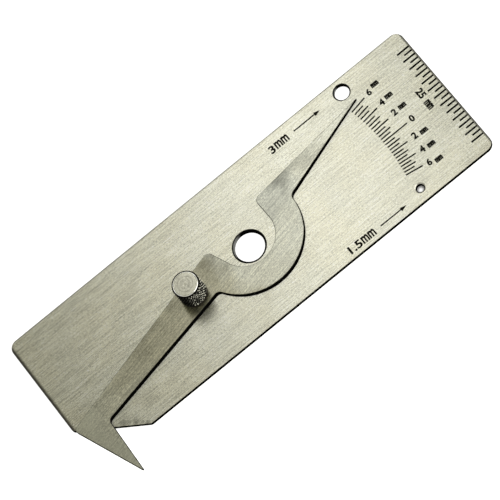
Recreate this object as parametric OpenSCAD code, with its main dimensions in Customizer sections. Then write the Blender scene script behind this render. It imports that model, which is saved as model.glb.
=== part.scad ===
// Weld gauge: a flat plate with a lever arm that shows undercut depth and weld crown height.
// Millimetres. The origin is the hang hole's axis on the back face, X runs toward the scale
// end, Y away from the working edge and Z up out of the front. It lies flat on its back.

/* [Plate] */
// Length of the plate
plate_l = 96; // [80:0.5:130]
// Width of the plate
plate_w = 31.5; // [28:0.5:45]
// Thickness of the plate's sheet
plate_t = 1; // [0.9:0.1:2]
// Radius of the three full corners
corner_r = 1.8; // [0.5:0.1:4]
// Length of the corner cut beside the probe
nose_cut_l = 12.7; // [8:0.1:16]
// Width of the corner cut beside the probe
nose_cut_w = 9; // [5:0.1:11]
// Radius at both ends of the corner cut
nose_r = 0.8; // [0.2:0.1:2]

/* [Holes] */
// Hang hole in the middle of the plate, for a ring or lanyard
hang_d = 6; // [4:0.1:6.5]
// Larger pore comparison hole
pore_large_d = 3; // [2:0.1:4]
// Smaller pore comparison hole
pore_small_d = 1.5; // [1:0.1:2]
// Distance of the larger comparison hole from the hang hole, toward the scale end
pore_large_x = 32.2; // [28:0.1:36]
// Distance of the smaller comparison hole from the hang hole, toward the scale end
pore_small_x = 31.9; // [28:0.1:36]
// Distance of each comparison hole from the plate's long edge
pore_inset = 2.75; // [2.5:0.05:4]
// Width of the broken edge on the front of a hole
front_break = 0.35; // [0.1:0.05:0.4]
// Width of the broken edge on the back of a hole
back_break = 0.15; // [0.05:0.05:0.3]

/* [Pivot] */
// Distance of the pivot from the hang hole, toward the probe end
pivot_back = 13.85; // [12.5:0.05:15]
// Distance of the pivot below the plate's middle line
pivot_drop = 0.8; // [0:0.05:2]
// Bearing diameter of the stud
stud_d = 3; // [2.8:0.1:3.4]
// Diameter of the stud's flush head
stud_head_d = 5; // [4.4:0.1:6]
// Thickness of the stud's flush head
stud_head_t = 0.5; // [0.3:0.05:0.6]
// Diameter of the stud's threaded end
thread_d = 2.5; // [2:0.1:2.6]
// Radial gap of a piece that turns on the stud
turn_gap = 0.04; // [0.01:0.01:0.08]
// Axial gap under the nut with the arm just free
nut_play = 0.05; // [0.02:0.01:0.1]
// Outer diameter of the friction washer
washer_d = 4.8; // [4.2:0.1:5.2]
// Thickness of the friction washer
washer_t = 0.25; // [0.15:0.05:0.4]

/* [Thumb nut] */
// Diameter over the knurl
nut_d = 5.7; // [5.4:0.1:7]
// Height of the nut
nut_h = 5.4; // [5:0.1:8]
// Bevel round the nut's top and bottom faces
nut_bevel = 0.16; // [0.1:0.02:0.2]
// Number of diamonds round the knurl
knurl_teeth = 30; // [20:2:36]
// Height of the knurl's diamonds above their valleys
knurl_depth = 0.3; // [0.1:0.02:0.34]
// Slope of the knurl's valleys against the nut's axis, in degrees, before whole rows are fitted in
knurl_angle = 30; // [25:1:40]
// Plain band above and below the knurl
knurl_inset = 0.22; // [0.2:0.02:0.5]
// Radius of the centre mark left by turning the top
pip_r = 0.15; // [0.1:0.05:0.5]
// Wall left above the blind thread
nut_cap = 1.3; // [1:0.1:2]

/* [Arm] */
// Thickness of the arm's sheet
arm_t = 0.9; // [0.6:0.1:1.2]
// Probe depth that the arm shows where it stands
rest_reading = 6.5; // [-6:0.05:6.8]
// Distance of the probe's point from the pivot, along the arm
probe_reach = 31.9; // [30:0.1:34]
// Width of the probe's blunt point
probe_flat = 0.3; // [0.1:0.05:0.5]
// Distance of the pointer's point from the pivot
pointer_reach = 48.5; // [46:0.1:50]
// Height of the pointer's upper shoulder above the arm's line
pointer_high = 2.9; // [2:0.1:3.2]
// Depth of the pointer's root below the arm's line
pointer_low = 2.95; // [2.6:0.05:3.4]
// Height of the lever's shoulder above the arm's line
lever_high = 3.5; // [3:0.1:4]
// Depth of the lever's lower edge below the arm's line, at the pivot
lever_low = 3.5; // [3:0.05:4]
// Depth of the lever's lower edge below the arm's line, at the hook
hook_low = 3.2; // [2.8:0.05:4]
// Height of the lever's heel above the arm's line
heel_high = 1; // [0.4:0.1:2]
// Length of the heel beyond the probe's point
heel_over = 2.55; // [1.5:0.05:4]
// Width of the hook where it leaves the lever
hook_root = 5.75; // [4:0.05:7]

/* [Bend] */
// Distance of the bend's centre from the pivot
bend_x = 14.55; // [13.8:0.05:15]
// Drop of the bend's centre below the arm's line
bend_drop = 0.65; // [0.4:0.05:1.2]
// Inside radius of the bend
bend_in_r = 5.95; // [5.4:0.05:6.2]
// Outside radius of the bend
bend_out_r = 11.75; // [10:0.05:12.5]
// Height of the outside's centre above the inside's
bend_rise = 0.25; // [0:0.05:0.5]
// Half width of the bend's mouth between the shoulders
mouth_half = 6.7; // [6.5:0.1:7.4]
// Rounding of the two shoulders
shoulder_r = 1.2; // [0.4:0.1:1.5]
// Fillet where the bend meets lever and pointer
bend_fillet = 1.2; // [0.4:0.1:2]
// Fillet inside the hook
hook_fillet = 1; // [0.4:0.1:2]
// Rounding of the heel
heel_r = 0.8; // [0.2:0.1:1.5]

/* [Scales] */
// Largest depth on the arc scale, each way from zero
scale_depth = 6; // [3:1:6]
// Depth between two lines of the arc scale
scale_step = 0.5; // [0.25:0.25:1]
// Radius of the inner ends of the arc scale's lines, from the pivot
scale_r = 46; // [44:0.1:47]
// Length of the zero line
zero_len = 5.8; // [4:0.1:6.5]
// Length of the lines at even millimetres
even_len = 3.7; // [3:0.1:5]
// Length of the lines at odd millimetres
odd_len = 2.9; // [2:0.1:4]
// Length of the lines between millimetres
half_len = 2.3; // [1:0.1:3]
// Number of lines on the end ruler
ruler_lines = 25; // [11:2:27]
// Distance between two lines on the end ruler
ruler_step = 1; // [0.5:0.5:1]
// Distance of the ruler's middle below the plate's middle line
ruler_drop = 0.4; // [0:0.1:1.5]
// Gap between the ruler's lines and the end of the plate
ruler_gap = 0.3; // [0.1:0.05:1]
// Length of the ruler's long lines
ruler_long = 2.85; // [2:0.05:4]
// Length of the ruler's short lines
ruler_short = 1.85; // [1:0.05:3]
// Width of the arc scale's lines
line_w = 0.3; // [0.1:0.01:0.32]
// Width of the end ruler's lines
ruler_w = 0.38; // [0.1:0.02:0.4]
// Depth of an engraved line
line_d = 0.06; // [0.03:0.01:0.15]

/* [Hidden] */
$fn = 96;
eps = 0.02;
// A rounding circle is drawn this much larger, so that it crosses its edges and doesn't just graze them.
cross = 1.003;
pivot = [-pivot_back, -pivot_drop];
// The working edge is the plate's lower long edge: the probe's point is level with it at zero.
edge_drop = plate_w / 2 - pivot_drop;
probe_len = norm([probe_reach, edge_drop]);
function arm_angle(depth) = asin((edge_drop + depth) / probe_len) - asin(edge_drop / probe_len);
rest_angle = arm_angle(rest_reading);
pore_y = plate_w / 2 - pore_inset;

arm_z = plate_t;
washer_z = arm_z + arm_t;
nut_z = washer_z + washer_t + nut_play;
nut_top = nut_z + nut_h;
thread_top = nut_top - nut_cap - 0.5;
// The stud's shoulder ends just below the arm's top, so the nut grips the arm and not the stud.
shoulder_z = washer_z - 0.05;

// Corners of the arm on its own line, with the pivot at the origin.
bend = [bend_x, -bend_drop];
bend_out = [bend_x, -bend_drop + bend_rise];
shoulder_a = [bend_x + mouth_half, pointer_high];
shoulder_b = [bend_x - mouth_half, lever_high];
point_tip = [pointer_reach, 0];
probe_heel = [-probe_reach - probe_flat / 2, -edge_drop];
probe_toe = [-probe_reach + probe_flat / 2, -edge_drop];
heel = [-probe_reach - heel_over, heel_high];
hook_corner = [heel[0] + hook_root, -hook_low];

// Node to build, or all of them

function unit(v) = v / norm(v);
// Point where a line from p touches a circle: side is 1 or -1.
function touch(p, c, r, side) =
    let (d = p - c, a = atan2(d[1], d[0]) + side * acos(r / norm(d))) c + r * [cos(a), sin(a)];
// Centre of a fillet between a line through p along u, void on side n, and a disc.
function nook(p, u, n, c, big_r, r) =
    let (w = p + n * r - c, b = w * u, far = big_r + r, s = -b + sqrt(b * b - w * w + far * far))
        p + n * r + s * u;

// The sliver between a corner b, with legs toward a and c, and a circle that touches both legs.
// Taken away it rounds an outer corner, and added it fillets an inner one.
module spandrel(a, b, c, r) {
    u = unit(a - b);
    v = unit(c - b);
    half = acos(u * v) / 2;
    difference() {
        polygon([b + u * r / tan(half), b + v * r / tan(half), b - unit(u + v) * 0.5]);
        translate(b + unit(u + v) * r / sin(half)) circle(r * cross);
    }
}

// Fillet between a straight edge and a disc.
module disc_fillet(p, u, n, c, big_r, r) {
    f = nook(p, u, n, c, big_r, r);
    on_edge = f - n * r;
    difference() {
        polygon([on_edge, c + unit(f - c) * big_r, on_edge - u * r * 1.5 - n * r * 0.6]);
        translate(f) circle(r * cross);
    }
}

// Hole through the plate with broken edges.
module plate_hole(d) {
    translate([0, 0, -eps]) cylinder(d = d, h = plate_t + 2 * eps);
    translate([0, 0, plate_t - front_break])
        cylinder(d1 = d, d2 = d + 2 * front_break + 2 * eps, h = front_break + eps);
    translate([0, 0, -eps]) cylinder(d1 = d + 2 * back_break + 2 * eps, d2 = d, h = back_break + eps);
}

module plate_outline() {
    l = plate_l / 2;
    w = plate_w / 2;
    pts = [[-l, w], [l, w], [l, -w], [-l + nose_cut_l, -w], [-l, -w + nose_cut_w]];
    radii = [corner_r, corner_r, corner_r, nose_r, nose_r];
    n = len(pts);
    difference() {
        polygon(pts);
        for (i = [0 : n - 1]) spandrel(pts[(i + n - 1) % n], pts[i], pts[(i + 1) % n], radii[i]);
    }
}

// One engraved line that starts at the origin and runs along X.
module groove(len, wide) {
    translate([0, -wide / 2, plate_t - line_d]) cube([len, wide, 2 * line_d]);
}

// Each line stands where the pointer stands when the probe is at that depth.
module arc_scale() {
    n = round(scale_depth / scale_step);
    for (i = [-n : n]) {
        depth = i * scale_step;
        whole = depth == round(depth);
        even = depth / 2 == round(depth / 2);
        translate(pivot) rotate(arm_angle(depth)) translate([scale_r, 0])
            groove(i == 0 ? zero_len : even ? even_len : whole ? odd_len : half_len, line_w);
    }
}

module end_ruler() {
    for (i = [0 : ruler_lines - 1])
        translate([plate_l / 2 - ruler_gap, (i - (ruler_lines - 1) / 2) * ruler_step - ruler_drop])
            rotate(180) groove(i % 2 == 0 ? ruler_long : ruler_short, ruler_w);
}

module base_plate() {
    color([0.83, 0.82, 0.75])
    difference() {
        linear_extrude(plate_t) plate_outline();
        plate_hole(hang_d);
        translate([pore_large_x, pore_y]) plate_hole(pore_large_d);
        translate([pore_small_x, -pore_y]) plate_hole(pore_small_d);
        translate([pivot[0], pivot[1], -eps]) {
            cylinder(d = stud_d, h = plate_t + 2 * eps);
            cylinder(d = stud_head_d, h = stud_head_t + eps);
        }
        arc_scale();
        end_ruler();
    }
}

module pivot_stud() {
    tip = 0.3;
    color([0.6, 0.6, 0.58])
    translate(pivot) rotate_extrude()
        polygon([[0, 0], [stud_head_d / 2, 0], [stud_head_d / 2, stud_head_t], [stud_d / 2, stud_head_t],
            [stud_d / 2, shoulder_z], [thread_d / 2, shoulder_z], [thread_d / 2, thread_top - tip],
            [thread_d / 2 - tip, thread_top], [0, thread_top]]);
}

// One flat shape in the arm's sheet.
module sheet() {
    linear_extrude(arm_t) children();
}

// The arm on its own line, with the pivot at the origin.
module arm_blank() {
    mouth_a = touch(shoulder_a, bend, bend_in_r / cross, -1);
    mouth_b = touch(shoulder_b, bend, bend_in_r / cross, 1);
    pointer_root = [shoulder_a[0], -pointer_low];
    pointer_dir = unit(point_tip - pointer_root);
    difference() {
        union() {
            // Lever with the heel and the hooked probe.
            sheet() polygon([shoulder_b, heel, probe_heel, probe_toe, hook_corner, [0, -lever_low],
                [bend_x, -lever_low], [bend_x, lever_high]]);
            // Needle pointer.
            sheet() polygon([shoulder_a, point_tip, pointer_root, [bend_x, -pointer_low],
                [bend_x, pointer_high]]);
            // Bend round the hang hole.
            intersection() {
                translate(bend_out) cylinder(r = bend_out_r, h = arm_t);
                translate([0, -2 * bend_out_r, -1]) cube([2 * bend_x, 2 * bend_out_r - 1, arm_t + 2]);
            }
            sheet() spandrel([0, -lever_low], hook_corner, probe_toe, hook_fillet);
            sheet() disc_fillet([0, -lever_low], [-1, 0], [0, -1], bend_out, bend_out_r, bend_fillet);
            sheet() disc_fillet(pointer_root, pointer_dir, [pointer_dir[1], -pointer_dir[0]], bend_out,
                bend_out_r, bend_fillet);
        }
        // Mouth of the bend, then the rounded shoulders and heel.
        translate([0, 0, -1]) linear_extrude(arm_t + 2) {
            translate(bend) circle(bend_in_r);
            polygon([mouth_b, shoulder_b + unit(shoulder_b - mouth_b), [bend_x, 4 * lever_high],
                shoulder_a + unit(shoulder_a - mouth_a), mouth_a]);
        }
        translate([0, 0, -1]) linear_extrude(arm_t + 2) spandrel(heel, shoulder_b, mouth_b, shoulder_r);
        translate([0, 0, -1]) linear_extrude(arm_t + 2) spandrel(point_tip, shoulder_a, mouth_a, shoulder_r);
        translate([0, 0, -1]) linear_extrude(arm_t + 2) spandrel(shoulder_b, heel, probe_heel, heel_r);
    }
}

module indicator_arm() {
    color([0.7, 0.69, 0.62])
    translate([pivot[0], pivot[1], arm_z]) rotate(rest_angle) difference() {
        arm_blank();
        translate([0, 0, -eps]) cylinder(d = stud_d + 2 * turn_gap, h = arm_t + 2 * eps);
    }
}

module friction_washer() {
    color([0.55, 0.55, 0.53])
    translate([pivot[0], pivot[1], washer_z]) difference() {
        cylinder(d = washer_d, h = washer_t);
        translate([0, 0, -eps]) cylinder(d = stud_d, h = washer_t + 2 * eps);
    }
}

// Diamond knurl, as a grid where peaks and valleys alternate round a row and from row to row.
// Each cell is split along its valley, and the first and last rows are plain rings.
module knurl() {
    n = 2 * knurl_teeth;
    band = nut_h - 2 * knurl_inset;
    rows = round(band / (PI * nut_d / n / tan(knurl_angle)));
    row = band / rows;
    r = nut_d / 2;
    function reach(i, j) = j == 0 || j == rows ? r - knurl_depth / 3 : (i + j) % 2 == 0 ? r : r - knurl_depth;
    function at(i, j) = j * n + i % n;
    points = [for (j = [0 : rows]) for (i = [0 : n - 1])
        [reach(i, j) * cos(i * 360 / n), reach(i, j) * sin(i * 360 / n), (j - rows / 2) * row]];
    cells = [for (j = [0 : rows - 1]) for (i = [0 : n - 1])
        let (a = at(i, j), b = at(i + 1, j), c = at(i, j + 1), d = at(i + 1, j + 1))
            each (i + j) % 2 == 0 ? [[a, c, b], [c, d, b]] : [[a, c, d], [a, d, b]]];
    ends = [[for (i = [0 : n - 1]) at(i, 0)], [for (i = [n - 1 : -1 : 0]) at(i, rows)]];
    translate([0, 0, nut_z + nut_h / 2]) polyhedron(points, concat(cells, ends));
}

module thumb_nut() {
    core = nut_d / 2 - knurl_depth - 0.03;
    bore = thread_d / 2 + turn_gap;
    end = nut_top - nut_cap;
    color([0.66, 0.65, 0.6])
    translate(pivot) difference() {
        union() {
            rotate_extrude()
                polygon([[0, nut_z], [core - nut_bevel, nut_z], [core, nut_z + nut_bevel],
                    [core, nut_top - nut_bevel], [core - nut_bevel, nut_top], [pip_r, nut_top],
                    [0, nut_top - pip_r / 4]]);
            knurl();
        }
        translate([0, 0, nut_z - eps]) rotate_extrude()
            polygon([[0, 0], [bore, 0], [bore, end - nut_z], [0, end - nut_z + bore / 2]]);
    }
}

base_plate();
pivot_stud();
indicator_arm();
friction_washer();
thumb_nut();
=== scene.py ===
# %% [markdown]
# # A flat weld gauge in brushed steel
# The gauge is a thin steel plate with a lever arm on it. The arm's hook is pushed into a groove
# beside a weld, and the needle at its other end shows the depth on an arc of lines. Every solid is
# already modelled to size, so this lesson dresses those solids: steel that was brushed, cut and
# turned, dark engraved figures, and the soft light of a studio table.

# %% Load the solids
import math
import bmesh
import bpy
from mathutils import Matrix, Vector


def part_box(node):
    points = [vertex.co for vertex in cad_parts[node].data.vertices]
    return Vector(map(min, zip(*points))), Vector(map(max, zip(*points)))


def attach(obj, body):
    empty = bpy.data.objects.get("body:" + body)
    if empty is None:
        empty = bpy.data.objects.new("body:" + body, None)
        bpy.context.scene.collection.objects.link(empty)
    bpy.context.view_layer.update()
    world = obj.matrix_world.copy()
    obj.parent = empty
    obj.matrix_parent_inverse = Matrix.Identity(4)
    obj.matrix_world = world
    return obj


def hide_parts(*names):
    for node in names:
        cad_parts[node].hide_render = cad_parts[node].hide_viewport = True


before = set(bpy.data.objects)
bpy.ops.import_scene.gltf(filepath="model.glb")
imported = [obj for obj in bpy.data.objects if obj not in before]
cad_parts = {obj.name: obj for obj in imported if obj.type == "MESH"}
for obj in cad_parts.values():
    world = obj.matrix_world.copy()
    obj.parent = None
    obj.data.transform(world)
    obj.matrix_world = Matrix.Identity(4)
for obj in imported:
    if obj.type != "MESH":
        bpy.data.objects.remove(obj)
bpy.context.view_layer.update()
MM = 0.001
PIVOT = Vector((-13.85, -0.8, 0)) * MM
ARM_TURN = math.radians(12.4)
PLATE_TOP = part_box("base_plate")[1].z
ARM_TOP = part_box("indicator_arm")[1].z
NUT_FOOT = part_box("thumb_nut")[0].z
NUT_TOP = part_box("thumb_nut")[1].z
print("solids:", sorted(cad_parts))

# %% [markdown]
# ## The camera
# The photograph looks down on the gauge from about 65 degrees, with a long lens, so the plate's
# sides are nearly parallel. A camera can be aimed with a constraint, but here its three axes are
# worked out from azimuth, elevation and roll, because the picture is turned about the line of sight
# and a plain look-at would lose that turn.

# %% Camera
IMAGE_SIZE = 500
FOCAL_PX = 4117.5
AZIMUTH, ELEVATION, ROLL = -1.56291, 1.12894, -0.68957
TARGET = Vector((-0.361, -0.234, 0.0)) * MM
DISTANCE = 782.15 * MM

backward = Vector((math.cos(ELEVATION) * math.cos(AZIMUTH),
                   math.cos(ELEVATION) * math.sin(AZIMUTH), math.sin(ELEVATION)))
level = Vector((0, 0, 1)).cross(backward).normalized()
upward = backward.cross(level)
right_axis = math.cos(ROLL) * level + math.sin(ROLL) * upward
up_axis = -math.sin(ROLL) * level + math.cos(ROLL) * upward

lens_data = bpy.data.cameras.new("photo_camera")
lens_data.sensor_width = 36
lens_data.lens = FOCAL_PX / IMAGE_SIZE * lens_data.sensor_width
lens_data.clip_start, lens_data.clip_end = 0.01, 20
camera = bpy.data.objects.new("photo_camera", lens_data)
turn = Matrix((right_axis, up_axis, backward)).transposed().to_4x4()
camera.matrix_world = Matrix.Translation(TARGET + DISTANCE * backward) @ turn
bpy.context.scene.collection.objects.link(camera)
bpy.context.scene.camera = camera
print("lens", round(lens_data.lens, 1), "mm, camera at", [round(x, 3) for x in camera.location])

# %% [markdown]
# ## Shader sums in plain Python
# A finish is easier to read as a formula than as a web of nodes. The class below wraps one output
# socket. Adding, multiplying or comparing two of them adds the matching Math node, and `node` adds
# any other kind. All patterns start from Object coordinates, in metres, so they stay on the metal
# when the arm turns.

# %% Socket class
class Sock:
    def __init__(self, tree, socket):
        self.tree, self.socket = tree, socket

    def node(self, kind, settings=None, out=0, **inputs):
        """A new node. An input is named, or numbered as i0, i1 and so on."""
        made = self.tree.nodes.new(kind)
        for name, value in (settings or {}).items():
            setattr(made, name, value)
        for name, value in inputs.items():
            key = int(name[1:]) if name[0] == "i" and name[1:].isdigit() else name.replace("_", " ")
            if isinstance(value, Sock):
                self.tree.links.new(value.socket, made.inputs[key])
            else:
                made.inputs[key].default_value = value
        return Sock(self.tree, made.outputs[out])

    def math(self, operation, a, b=0.0):
        return self.node("ShaderNodeMath", {"operation": operation}, i0=a, i1=b)

    def __add__(self, other): return self.math("ADD", self, other)
    def __radd__(self, other): return self.math("ADD", other, self)
    def __sub__(self, other): return self.math("SUBTRACT", self, other)
    def __rsub__(self, other): return self.math("SUBTRACT", other, self)
    def __mul__(self, other): return self.math("MULTIPLY", self, other)
    def __rmul__(self, other): return self.math("MULTIPLY", other, self)
    def __gt__(self, other): return self.math("GREATER_THAN", self, other)
    def __lt__(self, other): return self.math("LESS_THAN", self, other)

    def ramp(self, low, high):
        """0 below low, 1 above high and smooth between."""
        return self.node("ShaderNodeMapRange", {"interpolation_type": "SMOOTHSTEP"},
                         Value=self, From_Min=low, From_Max=high)

    def mix(self, first, second):
        """first where this is 0, second where it is 1."""
        return self.node("ShaderNodeMix", {"data_type": "RGBA"}, out=2, i0=self, i6=first, i7=second)

    def times(self, colour):
        """The colour, dimmed or lifted by this number."""
        return self.node("ShaderNodeVectorMath", {"operation": "SCALE"}, i0=colour, Scale=self)

    def split(self):
        made = self.tree.nodes.new("ShaderNodeSeparateXYZ")
        self.tree.links.new(self.socket, made.inputs[0])
        return [Sock(self.tree, out) for out in made.outputs]

    def noise(self, scale, detail=2.0, roughness=0.5):
        return self.node("ShaderNodeTexNoise", Vector=self, Scale=scale, Detail=detail, Roughness=roughness)

    def moved(self, place=(0, 0, 0), turned=0.0, scale=(1, 1, 1)):
        """These coordinates seen from a frame at place, turned about Z, then stretched."""
        there = self.node("ShaderNodeMapping", {"vector_type": "TEXTURE"}, Vector=self, Location=place,
                          Rotation=(0, 0, turned))
        return there.node("ShaderNodeMapping", Vector=there, Scale=scale)


def new_finish(name):
    """A material, its shader node and its Object coordinates."""
    material = bpy.data.materials.new(name)
    material.use_nodes = True
    tree = material.node_tree
    shader = tree.nodes["Principled BSDF"]
    coordinates = tree.nodes.new("ShaderNodeTexCoord")
    return material, shader, Sock(tree, coordinates.outputs["Object"])


def feed(shader, **values):
    for name, value in values.items():
        name = name.replace("_", " ")
        if isinstance(value, Sock):
            value.tree.links.new(value.socket, shader.inputs[name])
        else:
            shader.inputs[name].default_value = value


def distance(x, y, place_x, place_y):
    """Distance from a place given in millimetres, and its parts along X and Y."""
    dx, dy = x - place_x * MM, y - place_y * MM
    return x.math("SQRT", dx * dx + dy * dy), dx, dy


print("socket class ready")

# %% [markdown]
# ## Scratches, dirt and stains
# Both sheets were brushed with an abrasive belt, the plate along its length and the arm along its own line
# before it was cut out. Under the lens that is thousands of fine parallel scratches. An anisotropic shader
# would blur the light across them, but stretched noise in colour, roughness and bump also shows the
# scratches themselves, and it can be baked. Long scratches, short hairs and a faint broad sweep are added
# up. The arm's lever is coloured darker and warmer, the hook greyer with fainter streaks, and there are
# ragged stains on the plate and darker or brighter spots on the arm: each is a place, a width in
# millimetres and a depth, where a depth below 0 makes the spot brighter.

# %% Scratches, dirt and stains
SCRATCH, HAIR, SWEEP = 0.7, 1.05, 0.09
# where along the arm the lever grows darker and warmer (ramp in, then ramp out), and by how much
ARM_DARK_SPAN = (-33 * MM, -12 * MM, 4 * MM, 10 * MM, 0.26)
DARK_SPAN_RAGGED = 15 * MM
TINT_DARK_SPAN = (1.04, 1.0, 0.88, 1)
TINT_HOOK = (1.0, 1.0, 0.97, 1)
STAIN_CORE, STAIN_RAGGED = 0.3, 2.5


def scratches(line, seed, per_metre):
    """Streaks along the X of these coordinates, about 0 on average."""
    scratch = line.moved((seed, 0, 0), 0, (per_metre, 6500, 300)).noise(1.0, 1.0, 0.6)
    hair = line.moved((seed + 0.3, 0, 0), 0, (2600, 7500, 900)).noise(1.0, 1.0, 0.6)
    sweep = line.moved((seed + 0.7, 0, 0), 0, (22, 500, 40)).noise(1.0, 2.0, 0.5)
    return (scratch - 0.5) * SCRATCH + (hair - 0.5) * HAIR + (sweep - 0.5) * SWEEP


def lever_darkening(line, cloud, tint, lifted):
    """Tint, streaks and dimming of the arm: a darker, warmer lever and a plainer, greyer hook."""
    far, near, start, end, depth = ARM_DARK_SPAN
    along = line.split()[0] + (cloud - 0.5) * DARK_SPAN_RAGGED
    hook = 1 - along.ramp(far + 2 * MM, far + 6 * MM)
    darker_part = along.ramp(far, near) * (1 - along.ramp(start, end))
    tint = hook.mix(darker_part.mix(tint, TINT_DARK_SPAN), TINT_HOOK)
    return tint, lifted * (1 - 0.5 * hook), 1 - depth * darker_part


def stained(shade, x, y, cloud, stains):
    for stain_x, stain_y, spread, depth in stains:
        away = distance(x, y, stain_x, stain_y)[0] + (cloud - 0.5) * (STAIN_RAGGED * spread * MM)
        shade = shade * (1 - depth * (1 - away.ramp(STAIN_CORE * spread * MM, spread * MM)))
    return shade


# the span along the arm where the lever is coloured darker
print("dirt lies between", [round(limit / MM) for limit in ARM_DARK_SPAN[:4]], "mm along the arm")

# %% [markdown]
# ## Cut edges and bores
# The cut edges and the bottoms of the engraved lines are dark, and they are found by height alone: only the
# front and back faces lie at the sheet's two surfaces. A mask by face normal would miss the bottoms of the
# lines. Along three edges of the plate the face is painted darker a little further in: painted shade of the
# rolled edges. The front rim of each bore is broken to a slope: outside a ring round the bore it is brushed
# like the face, and inside the ring all is dark. The side of a bore's wall that turns to the light is
# painted as lit grey metal, a painted highlight.

# %% Cut edges and bores
CUT_DARK = (0.001, 0.001, 0.0008, 1)
CUT_LIGHT = (0.005, 0.0045, 0.004, 1)
# painted highlight: the colour of the side of a bore's wall that faces the light
LIT_BORE_WALL = (0.22, 0.22, 0.21, 1)
SKIN_THIN, SKIN_DEEP = 0.004 * MM, 0.02 * MM
RING_SOFT = 0.04
RIM_WIDE, RIM_DEEP = 0.37, 0.4 * MM
# the direction in which a bore's wall faces the light, where its highlight is painted
LIT_WALL_SIDE = (0.77, -0.63)
HOLES = [(0, 0, 3.0, 3.47), (32.2, 13.0, 1.5, 1.8), (31.9, -13.0, 0.75, 0.9)]


def shaded_edges(shade, x, y, half_long, half_wide):
    """Painted shade: darker along the plate's right, left and upper edges, where the rolled edges would
    mirror dark.
    """
    shade = shade * (1 - 0.75 * x.ramp(half_long - 0.55 * MM, half_long - 0.25 * MM))
    shade = shade * (1 - 0.85 * (0 - x).ramp(half_long - 0.9 * MM, half_long - 0.25 * MM))
    return shade * (1 - 0.55 * y.ramp(half_wide - 0.35 * MM, half_wide - 0.15 * MM))


def cut(x, y, height, sheet, bores):
    """Masks of the brushed faces and of all bare metal, and the colour of what was cut."""
    low, high = sheet
    # faces below the sheet's surface, the rounded rim too, take the dark cut colour; on the rounded rim
    # this is partly painted shade
    front = height.ramp(high - SKIN_DEEP, high - SKIN_THIN)
    back = 1 - height.ramp(low + SKIN_THIN, low + SKIN_DEEP)
    face, wall = front + back, 0.0
    edge = height.noise(2500.0).ramp(0.3, 0.8).mix(CUT_DARK, CUT_LIGHT)
    for bore_x, bore_y, radius, ring in bores:
        away, dx, dy = distance(x, y, bore_x, bore_y)
        # painted highlight: the side of each bore's wall that faces the light is coloured lit grey metal,
        # the rest keeps the dark cut colour
        across = dx * LIT_WALL_SIDE[0] + dy * LIT_WALL_SIDE[1]
        side = 1 - across.ramp(-0.95 * radius * MM, -0.6 * radius * MM)
        lit = side * (1 - away.ramp((ring - 0.25) * MM, (ring - 0.2) * MM))
        edge = lit.mix(edge, LIT_BORE_WALL)
        slope = (away < (radius + RIM_WIDE) * MM) * (height > high - RIM_DEEP)
        outside = away.ramp((ring - RING_SOFT) * MM, (ring + RING_SOFT) * MM)
        face = face.math("MAXIMUM", face, slope) * outside
        wall = lit.math("MAXIMUM", lit, wall)
    return face, face.math("MAXIMUM", face, wall), edge


print("bores:", [f"{2 * radius:g} mm" for _, _, radius, _ in HOLES])

# %% [markdown]
# ## Brushed sheet steel
# Now the parts come together in one finish for both sheets. The streaks lift the colour, roughen
# the gloss a little and raise a bump of a few thousandths of a millimetre, so they also catch the
# light from other sides. Very broad, weak noise tints the steel warmer and cooler.

# %% Brushed finish
PLATE_STEEL = (0.80, 0.79, 0.67)
ARM_STEEL = (0.62, 0.622, 0.535)
TINT_WARM = (1.01, 1.0, 0.975, 1)
TINT_COOL = (0.99, 1.0, 1.02, 1)
GRAIN, CLOUDS = 1.62, 0.22
BRUSHED_ROUGH, CUT_ROUGH = 0.32, 0.5
STREAK_HEIGHT = 0.006 * MM
PLATE_HALF = (48 * MM, 15.75 * MM)
STAINS = [(-33, -11.5, 2.2, 0.12), (-27.5, -12.5, 2.6, 0.08), (-38.3, -11.7, 1.8, 0.16),
          (-39.6, -12.1, 1.1, 0.4), (-38.5, -12.8, 0.9, 0.3), (-37.4, -13.4, 1.1, 0.42),
          (-36.5, -14.3, 0.8, 0.25), (-35.8, -15.2, 0.8, 0.4)]
# darker and brighter spots on the arm: place, width in millimetres and depth
ARM_SPOTS = [(13, 7.5, 3.6, 0.38), (10.8, 7, 2.8, 0.18), (16.8, 8.4, 4, 0.2), (11.6, 4.4, 2.2, 0.12),
           (9, 3.5, 7, 0.14), (26.5, 8.2, 5, -0.16), (-7.7, 2.9, 3.0, 0.28), (-7.6, -0.4, 3.6, 0.18),
           (-5, -3.8, 2.4, -0.06), (-18.9, 0.9, 3.2, 0.26), (-23.8, -0.5, 3.8, 0.2),
           (-28.5, -1.8, 3.4, 0.14), (-17.6, -2, 2, -0.08), (-38, -7.5, 5, -0.12), (-44, -8, 4, -0.12)]


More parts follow.
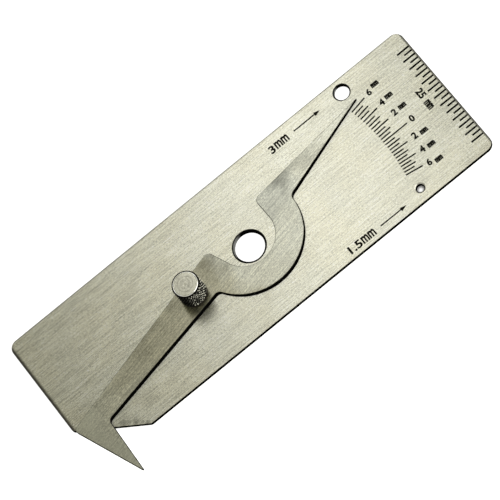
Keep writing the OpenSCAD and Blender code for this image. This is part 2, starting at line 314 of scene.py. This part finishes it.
def brushed(name, base, sheet, stains, per_metre, centre=(0, 0, 0), turned=0.0, seed=0.0, bores=(),
            half=None, darken_lever=False):
    material, shader, at = new_finish(name)
    x, y, height = at.split()
    line = at.moved(centre, turned)
    streak = scratches(line, seed, per_metre)
    cloud = at.moved((seed, seed, 0)).noise(110.0, 4.0, 0.6)
    lifted = streak + streak * streak * 0.6
    broad = at.moved((0.5 + seed, 0.2, 0)).noise(75.0, 3.0, 0.6)
    tint, dimming = broad.ramp(0.3, 0.7).mix(TINT_WARM, TINT_COOL), 1.0
    if darken_lever:
        tint, lifted, dimming = lever_darkening(line, cloud, tint, lifted)
    shade = (1 + lifted * GRAIN + (cloud - 0.5) * CLOUDS) * dimming
    # painted shade along three edges of the plate
    if half:
        shade = shaded_edges(shade, x, y, *half)
    shade = stained(shade, x, y, cloud, stains)
    tone = tint.node("ShaderNodeVectorMath", {"operation": "MULTIPLY"}, i0=tint, i1=base)
    face, metal, edge = cut(x, y, height, sheet, bores)
    bump = streak.node("ShaderNodeBump", Strength=0.15, Distance=STREAK_HEIGHT, Height=streak * face)
    feed(shader, Base_Color=face.mix(edge, shade.times(tone)), Metallic=metal, Specular_IOR_Level=0.0,
         Roughness=face * (BRUSHED_ROUGH + streak * 0.08 - CUT_ROUGH) + CUT_ROUGH, Normal=bump)
    print(name, "has", len(material.node_tree.nodes), "nodes")
    return material


plate_finish = brushed("plate_brushed", PLATE_STEEL, (0, PLATE_TOP), STAINS, 230, bores=HOLES,
                       half=PLATE_HALF)
arm_finish = brushed("arm_brushed", ARM_STEEL, (PLATE_TOP, ARM_TOP), ARM_SPOTS, 120, PIVOT, ARM_TURN,
                     seed=2.0, darken_lever=True)

# %% [markdown]
# ## Worn edges
# Handling and tumbling have rounded the front edges of both sheets a little. The rounded rim lies below the
# face, so it takes the dark colour of the cut: a thin dark line that is partly the cut's own skin and
# partly painted shade of the rounded edge. The solids have sharp edges. A Bevel modifier would also round
# the engraved lines, so a copy of each solid is joined up, its flat triangles are dissolved into faces, and
# only the outer rim is picked for the bevel: one width for the edges that turn toward the viewer and one
# for the rest. Slivers are merged after each bevel. Where the arm lies on the plate, the bottom corners of
# its near edges are moved outward, so that its dark cut wall shows wider: a painted shadow of the arm on
# the plate, made in dark steel.

# %% Sheets with a rounded rim
PLATE_ROUND_FAR, PLATE_ROUND_NEAR = 0.12 * MM, 0.045 * MM
# the last value is how far the foot of the arm's near edges flares outward, so that the dark cut wall shows
# as a painted shadow on the plate
ARM_ROUND_FAR, ARM_ROUND_NEAR, ARM_SHADOW_FLARE = 0.13 * MM, 0.11 * MM, 0.24 * MM
HOOK_START = -11 * MM
STUD_CLEAR = 3 * MM
SLIVER = 0.002 * MM


def piece_from(bm, name, material, body):
    mesh = bpy.data.meshes.new(name)
    bm.to_mesh(mesh)
    bm.free()
    mesh.materials.append(material)
    piece = bpy.data.objects.new(name, mesh)
    bpy.context.scene.collection.objects.link(piece)
    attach(piece, body)
    return piece


def outer_rim(bm, top, bottom, near):
    """Edges of the top face with a full-height wall that turns to the viewer, or that doesn't."""
    rim = []
    for edge in bm.edges:
        walls = [f for f in edge.link_faces if abs(f.normal.z) < 0.3]
        if not walls or any(abs(v.co.z - top) > 0.001 * MM for v in edge.verts):
            continue
        full = min(v.co.z for v in walls[0].verts) < bottom + 0.1 * MM
        if full and near == (walls[0].normal.y < -0.5):
            rim.append(edge)
    return rim


# Painted shadow: the foot of the near walls is pushed outward, so their dark cut colour shows as the arm's
# shadow on the plate.
def flared(bm, bottom, reach):
    for corner in bm.verts:
        outward = Vector((corner.normal.x, corner.normal.y, 0)).normalized()
        on_plate = corner.co.y > HOOK_START and (corner.co - PIVOT).xy.length > STUD_CLEAR
        if on_plate and corner.co.z < bottom + 0.01 * MM:
            corner.co += reach * max(0, -outward.y) ** 2 * outward


def rounded(node, name, material, body, far_round, near_round, flare=0.0):
    low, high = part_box(node)
    bm = bmesh.new()
    bm.from_mesh(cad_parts[node].data)
    bmesh.ops.remove_doubles(bm, verts=bm.verts, dist=0.0005 * MM)
    bmesh.ops.dissolve_limit(bm, angle_limit=math.radians(0.5), verts=bm.verts, edges=bm.edges)
    bm.normal_update()
    flared(bm, low.z, flare)
    for near, width in ((False, far_round), (True, near_round)):
        rim = outer_rim(bm, high.z, low.z, near)
        bmesh.ops.bevel(bm, geom=rim, offset=width, offset_type="OFFSET", segments=3, profile=0.5,
                        affect="EDGES", material=-1, clamp_overlap=False)
        bmesh.ops.remove_doubles(bm, verts=bm.verts, dist=SLIVER)
        bmesh.ops.dissolve_degenerate(bm, dist=SLIVER, edges=bm.edges)
        bm.normal_update()
    piece = piece_from(bm, name, material, body)
    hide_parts(node)
    print(name, "has", len(rim), "near rim edges and", len(piece.data.polygons), "faces")
    return piece


rounded("base_plate", "plate_rounded", plate_finish, "plate",
        PLATE_ROUND_FAR, PLATE_ROUND_NEAR)
arm_piece = rounded("indicator_arm", "arm_rounded", arm_finish, "arm",
                    ARM_ROUND_FAR, ARM_ROUND_NEAR, ARM_SHADOW_FLARE)

# %% [markdown]
# ## Turned steel
# The nut, the stud and the washer came off a lathe. The tool leaves rings about the axis, so the pattern
# follows the distance from the pivot. The nut's cap is bright up to a dark line at its rim, and a polished
# ring just inside that line carries a painted highlight. Its knurl is filled with grease and dirt, and its
# far side is painted dark as shade; only the peaks on the side that faces the side lamp carry a painted
# glint. A mask by distance from the axis finds the peaks, a mask by direction finds the lit side, and cells
# of random brightness break the glint up.

# %% Turned finish
NUT_STEEL, NUT_ROUGH = (0.72, 0.71, 0.61), 0.24
STUD_STEEL, WASHER_STEEL, TURNED_ROUGH = (0.62, 0.61, 0.57), (0.55, 0.54, 0.5), 0.26
# dark grease in the knurl's valleys; the same colour is the painted shade over the knurl's far side and the
# dark line round the cap
GREASE_AND_SHADE = (0.006, 0.0055, 0.005, 1)
VALLEY, PEAK, CAP_EDGE = 2.66 * MM, 2.74 * MM, 2.26 * MM
KNURL_FOOT, CAP_LEVEL = NUT_FOOT + 0.35 * MM, NUT_TOP - 0.19 * MM
# the direction the knurl's side faces toward the side lamp, where the glint is painted
LAMP_SIDE = (0.62, -0.78)
GRIT = 2600.0


def turned(name, base, rough, knurl=False):
    material, shader, at = new_finish(name)
    x, y, height = at.moved(PIVOT).split()
    away = x.math("SQRT", x * x + y * y)
    rings = away.node("ShaderNodeTexNoise", {"noise_dimensions": "1D"}, W=away, Scale=3600.0, Detail=3.0)
    cloud = at.noise(900.0, 2.0, 0.5)
    speck = at.moved((0.3, 0, 0)).noise(3200.0, 1.0, 0.5)
    shade = 0.94 + (rings - 0.5) * 0.9 + (cloud - 0.5) * 0.3 + (speck - 0.5) * 0.9
    relief, metal, gloss = rings * 0.02, 1.0, rough + (rings - 0.5) * 0.15
    if knurl:
        cap = (height > CAP_LEVEL) * (1 - away.ramp(CAP_EDGE + 0.18 * MM, CAP_EDGE + 0.24 * MM))
        # painted highlight: a polished ring inside the cap's dark line is coloured brighter and made a
        # little glossier
        rim = cap * away.ramp(CAP_EDGE - 0.06 * MM, CAP_EDGE)
        band = (height > KNURL_FOOT) * (height < CAP_LEVEL - 0.15 * MM)
        grit = at.node("ShaderNodeTexVoronoi", Vector=at, Scale=GRIT)
        spark = at.node("ShaderNodeTexVoronoi", out=1, Vector=at, Scale=GRIT).split()[0].ramp(0.3, 0.7)
        # painted glint on the knurl's peaks that face the side lamp; the far side stays dark as painted
        # shade
        toward = x * LAMP_SIDE[0] + y * LAMP_SIDE[1] + (cloud - 0.5) * (1.5 * MM)
        facing_lamp = toward.ramp(0.6 * MM, 1.7 * MM)
        painted_glint = band * away.ramp(VALLEY, PEAK) * (0.06 + facing_lamp * 0.94) * (0.15 + spark * 0.85)
        shade = shade + rim * 0.6 + painted_glint * (1 - cap) * 0.6
        colour = away.math("MAXIMUM", painted_glint, cap).mix(GREASE_AND_SHADE, shade.times(base))
        metal, gloss = cap, gloss - rim * 0.1 + (1 - cap) * 0.25
        relief = relief + grit * (1 - cap) * 0.5
    else:
        colour = shade.times(base)
    bump = rings.node("ShaderNodeBump", Strength=0.6, Distance=0.12 * MM, Height=relief)
    feed(shader, Base_Color=colour, Metallic=metal, Roughness=gloss, Specular_IOR_Level=0.0, Normal=bump)
    return material


def dress(node, material):
    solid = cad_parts[node]
    solid.data.materials.clear()
    solid.data.materials.append(material)
    print(node, "wears", material.name, "on", len(solid.data.polygons), "faces")


dress("thumb_nut", turned("nut_turned", NUT_STEEL, NUT_ROUGH, knurl=True))
dress("pivot_stud", turned("stud_turned", STUD_STEEL, TURNED_ROUGH))
dress("friction_washer", turned("washer_turned", WASHER_STEEL, TURNED_ROUGH))

# %% [markdown]
# ## Engraved figures
# The lines of both scales are cut into the solid plate already. The figures beside them are fine
# engraving filled with black. Blender's own font is made a mesh, given a hair's thickness so that
# it is a closed body, and set into the plate's face.

# %% Figures
INK_RISE = 0.004 * MM
INK_DEPTH = 0.03 * MM
INK_DARK, INK_LIGHT = (0.006, 0.006, 0.005, 1), (0.025, 0.023, 0.02, 1)
ALONG, DOWN = 0.0, -math.pi / 2


def ink_finish():
    material, shader, at = new_finish("engraving_black")
    speck = at.noise(9000.0, 2.0, 0.6)
    tone = speck.ramp(0.35, 0.75).mix(INK_DARK, INK_LIGHT)
    feed(shader, Base_Color=tone, Roughness=0.6 + (speck - 0.5) * 0.3, Specular_IOR_Level=0.0)
    return material


ink = ink_finish()


def figure(name, words, height, place, turned, width=None, bold=0.0):
    """Words with the middle of their box at place, reading along the direction turned."""
    curve = bpy.data.curves.new(name, "FONT")
    curve.body = words
    curve.extrude = 0.5
    curve.offset = bold
    curve.resolution_u = 4
    maker = bpy.data.objects.new(name, curve)
    bpy.context.scene.collection.objects.link(maker)
    bpy.context.view_layer.update()
    mesh = bpy.data.meshes.new_from_object(maker)
    bpy.data.objects.remove(maker)
    xs = [v.co.x for v in mesh.vertices]
    ys = [v.co.y for v in mesh.vertices]
    tall = height / (max(ys) - min(ys))
    wide = (width / (max(xs) - min(xs))) if width else tall
    middle = Vector(((max(xs) + min(xs)) / 2, (max(ys) + min(ys)) / 2, 0.5))
    mesh.transform(Matrix.Translation(-middle))
    mesh.transform(Matrix.Diagonal((wide * MM, tall * MM, INK_DEPTH, 1)))
    mesh.transform(Matrix.Rotation(turned, 4, "Z"))
    mesh.transform(Matrix.Translation((place[0] * MM, place[1] * MM, PLATE_TOP + INK_RISE)))
    mesh.name = name
    mesh.materials.append(ink)
    piece = bpy.data.objects.new(name, mesh)
    bpy.context.scene.collection.objects.link(piece)
    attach(piece, "plate")


DIAL = [("6", 36.17, 9.36), ("4", 36.8, 5.95), ("2", 37.42, 2.67), ("0", 39.22, -0.65),
        ("2", 37.48, -3.81), ("4", 36.93, -7.01), ("6", 36.35, -10.02)]
UNITS = [(38.0, 9.95), (38.65, 6.2), (39.35, 2.7), (39.45, -4.22), (38.88, -7.32), (38.18, -10.72)]
LABELS = [("ruler_figure", "25", 1.6, (43.6, 2.2), DOWN, None, 0.04),
          ("ruler_unit", "mm", 1.35, (43.4, -0.7), DOWN, 2.05, 0.065),
          ("large_hole_figure", "3", 1.75, (15.0, 12.8), ALONG, 1.15, 0.035),
          ("large_hole_unit", "mm", 1.6, (17.4, 12.9), ALONG, 3.1, 0.035),
          ("small_hole_figure", "1.5", 1.75, (15.45, -14.0), ALONG, 2.9, 0.03),
          ("small_hole_unit", "mm", 1.6, (18.65, -14.0), ALONG, 3.1, 0.035)]
for index, (digit, x, y) in enumerate(DIAL):
    figure(f"dial_figure_{index}", digit, 1.5, (x, y), ALONG, bold=0.042)
for index, (x, y) in enumerate(UNITS):
    figure(f"dial_unit_{index}", "mm", 1.05, (x, y), ALONG, width=1.65, bold=0.085)
for label in LABELS:
    figure(*label)
print("figures:", len(DIAL) + len(UNITS) + len(LABELS))

# %% [markdown]
# ## Leader arrows
# A thin arrow leads from each hole's size to the hole. It is a flat strip with a pointed head: four
# corners of a square are drawn out to a line, the far end is widened to a head and drawn to a point.

# %% Arrows
ARROW_LINE, ARROW_COLLAR = 0.28, 0.01
HEAD_LONG, HEAD_WIDE = 1.4, 0.85
ARROWS = [("large_hole_arrow", (20.4, 12.95), 6.5), ("small_hole_arrow", (21.6, -14.0), 6.3)]


def arrow(name, start, length):
    """A flat arrow along X from start, in millimetres."""
    bm = bmesh.new()
    bmesh.ops.create_grid(bm, x_segments=1, y_segments=1, size=0.5)
    far = sorted(bm.edges, key=lambda e: e.verts[0].co.x + e.verts[1].co.x)[-1]
    bmesh.ops.scale(bm, verts=bm.verts, vec=(1, ARROW_LINE, 1))
    bmesh.ops.translate(bm, verts=bm.verts, vec=(0.5, 0, 0))
    bmesh.ops.translate(bm, verts=far.verts, vec=(length - HEAD_LONG - 1, 0, 0))
    collar = bmesh.ops.extrude_edge_only(bm, edges=[far])["geom"]
    edge = [e for e in collar if isinstance(e, bmesh.types.BMEdge) and len(e.link_faces) == 1
            and abs(e.verts[0].co.x - e.verts[1].co.x) < 1e-6][0]
    bmesh.ops.scale(bm, verts=edge.verts, vec=(1, HEAD_WIDE / ARROW_LINE, 1))
    bmesh.ops.translate(bm, verts=edge.verts, vec=(ARROW_COLLAR, 0, 0))
    tip = bmesh.ops.extrude_edge_only(bm, edges=[edge])["geom"]
    tip_verts = [v for v in tip if isinstance(v, bmesh.types.BMVert)]
    bmesh.ops.translate(bm, verts=tip_verts, vec=(HEAD_LONG - ARROW_COLLAR, 0, 0))
    bmesh.ops.pointmerge(bm, verts=tip_verts, merge_co=(length, 0, 0))
    bmesh.ops.solidify(bm, geom=bm.faces, thickness=INK_DEPTH / MM)
    bmesh.ops.recalc_face_normals(bm, faces=bm.faces)
    bmesh.ops.scale(bm, verts=bm.verts, vec=(MM, MM, MM))
    top = max(v.co.z for v in bm.verts)
    place = (start[0] * MM, start[1] * MM, PLATE_TOP + INK_RISE - top)
    bmesh.ops.translate(bm, verts=bm.verts, vec=place)
    return piece_from(bm, name, ink, "plate")


for name, start, length in ARROWS:
    made = arrow(name, start, length)
    print(name, "has", len(made.data.polygons), "faces")

# %% [markdown]
# ## Floor
# A plain white floor carries the gauge. For camera and mirror rays it glows a little under a strength of 1,
# so it stays white, and the rest of its brightness comes from the lamps, which leaves the soft shadow.
# Little light falls through the smallest bore, so under it the glow is painted darker toward its rim: a
# painted shadow.

# %% Floor
FLOOR_HALF, FLOOR_DROP = 3.0, 0.02 * MM
FLOOR_WHITE = (0.8, 0.8, 0.8, 1)
# the last value is how much the glow is painted darker under the smallest bore, as a painted shadow
FLOOR_GLOW, BORE_PAINTED_SHADOW = 0.9, 0.8


def floor_finish():
    material = bpy.data.materials.new("floor_white")
    material.use_nodes = True
    tree = material.node_tree
    tree.nodes.clear()
    rays = tree.nodes.new("ShaderNodeLightPath")
    seen = Sock(tree, rays.outputs["Is Camera Ray"])
    mirror = Sock(tree, rays.outputs["Is Glossy Ray"])
    through = Sock(tree, rays.outputs["Is Transmission Ray"])
    shown = seen.math("MAXIMUM", seen.math("MAXIMUM", seen, mirror), through)
    coordinates = tree.nodes.new("ShaderNodeTexCoord")
    x, y, _ = Sock(tree, coordinates.outputs["Object"]).split()
    bore_x, bore_y, radius, _ = HOLES[2]
    away = distance(x, y, bore_x - 0.1, bore_y)[0]
    # painted shadow: under the smallest bore the floor's glow is darker toward the bore's rim
    near = away.ramp(0.0, radius * MM) * (1 - away.ramp(1.6 * radius * MM, 2 * radius * MM))
    painted_shadow_glow = 1 - BORE_PAINTED_SHADOW / FLOOR_GLOW * near
    glow = shown.node("ShaderNodeEmission", Color=painted_shadow_glow.times((1, 1, 1)), Strength=shown * FLOOR_GLOW)
    matt = shown.node("ShaderNodeBsdfDiffuse", Color=FLOOR_WHITE)
    both = shown.node("ShaderNodeAddShader", i0=glow, i1=matt)
    out = tree.nodes.new("ShaderNodeOutputMaterial")
    tree.links.new(both.socket, out.inputs["Surface"])
    return material


bm = bmesh.new()
bmesh.ops.create_grid(bm, x_segments=1, y_segments=1, size=FLOOR_HALF)
bmesh.ops.translate(bm, verts=bm.verts, vec=(0, 0, -FLOOR_DROP))
floor_mesh = bpy.data.meshes.new("floor")
bm.to_mesh(floor_mesh)
bm.free()
floor_mesh.materials.append(floor_finish())
floor = bpy.data.objects.new("floor", floor_mesh)
bpy.context.scene.collection.objects.link(floor)
print("floor", 2 * FLOOR_HALF, "m wide")

# %% [markdown]
# ## Light
# One soft lamp stands beyond the plate's upper edge: its mirror image falls on the plate near the
# needle, so that the steel is brightest there and falls off to both ends. In the photograph the arm
# shows a crisp dark edge and no soft shadow, so light linking keeps the arm from blocking this
# lamp. A smaller, higher lamp would also sharpen that shadow, but it would spoil the even fall of
# light over the plate. A large panel beside the gauge lights the nut's side. The world is pale
# toward the horizon and dim overhead, so steel that is seen from a low angle has something to
# mirror.

# %% Lamps and world
KEY_PLACE, KEY_AIM, KEY_SIZE, KEY_POWER = (0.026, 0.167, 0.3535), (0.017, 0, 0), (0.06, 0.30), 0.121
SIDE_PLACE, SIDE_AIM, SIDE_SIZE, SIDE_POWER = (0.42, -0.37, 0.42), (-0.01, 0, 0.004), (0.9, 0.9), 2.7
HORIZON = (0.6, 0.6, 0.57, 1)
OVERHEAD = (0.167, 0.16, 0.106, 1)


def lamp(name, place, aim, size, power):
    data = bpy.data.lights.new(name, "AREA")
    data.shape = "RECTANGLE"
    data.size, data.size_y = size
    data.energy = power
    made = bpy.data.objects.new(name, data)
    made.location = place
    made.rotation_euler = (Vector(aim) - Vector(place)).to_track_quat("-Z", "Y").to_euler()
    bpy.context.scene.collection.objects.link(made)
    return made


unshading = bpy.data.collections.new("unshading")
unshading.objects.link(arm_piece)
unshading.collection_objects[0].light_linking.link_state = "EXCLUDE"
key = lamp("key_lamp", KEY_PLACE, KEY_AIM, KEY_SIZE, KEY_POWER)
key.light_linking.blocker_collection = unshading
lamp("side_lamp", SIDE_PLACE, SIDE_AIM, SIDE_SIZE, SIDE_POWER)

world = bpy.data.worlds.new("studio")
bpy.context.scene.world = world
world.use_nodes = True
sky = world.node_tree
direction = Sock(sky, sky.nodes.new("ShaderNodeTexCoord").outputs["Generated"])
overhead = direction.split()[2].ramp(0.45, 0.75)
feed(sky.nodes["Background"], Color=overhead.mix(HORIZON, OVERHEAD), Strength=1.0)
bpy.context.scene.view_settings.view_transform = "Standard"
print("lamps:", [light.name for light in bpy.data.lights])
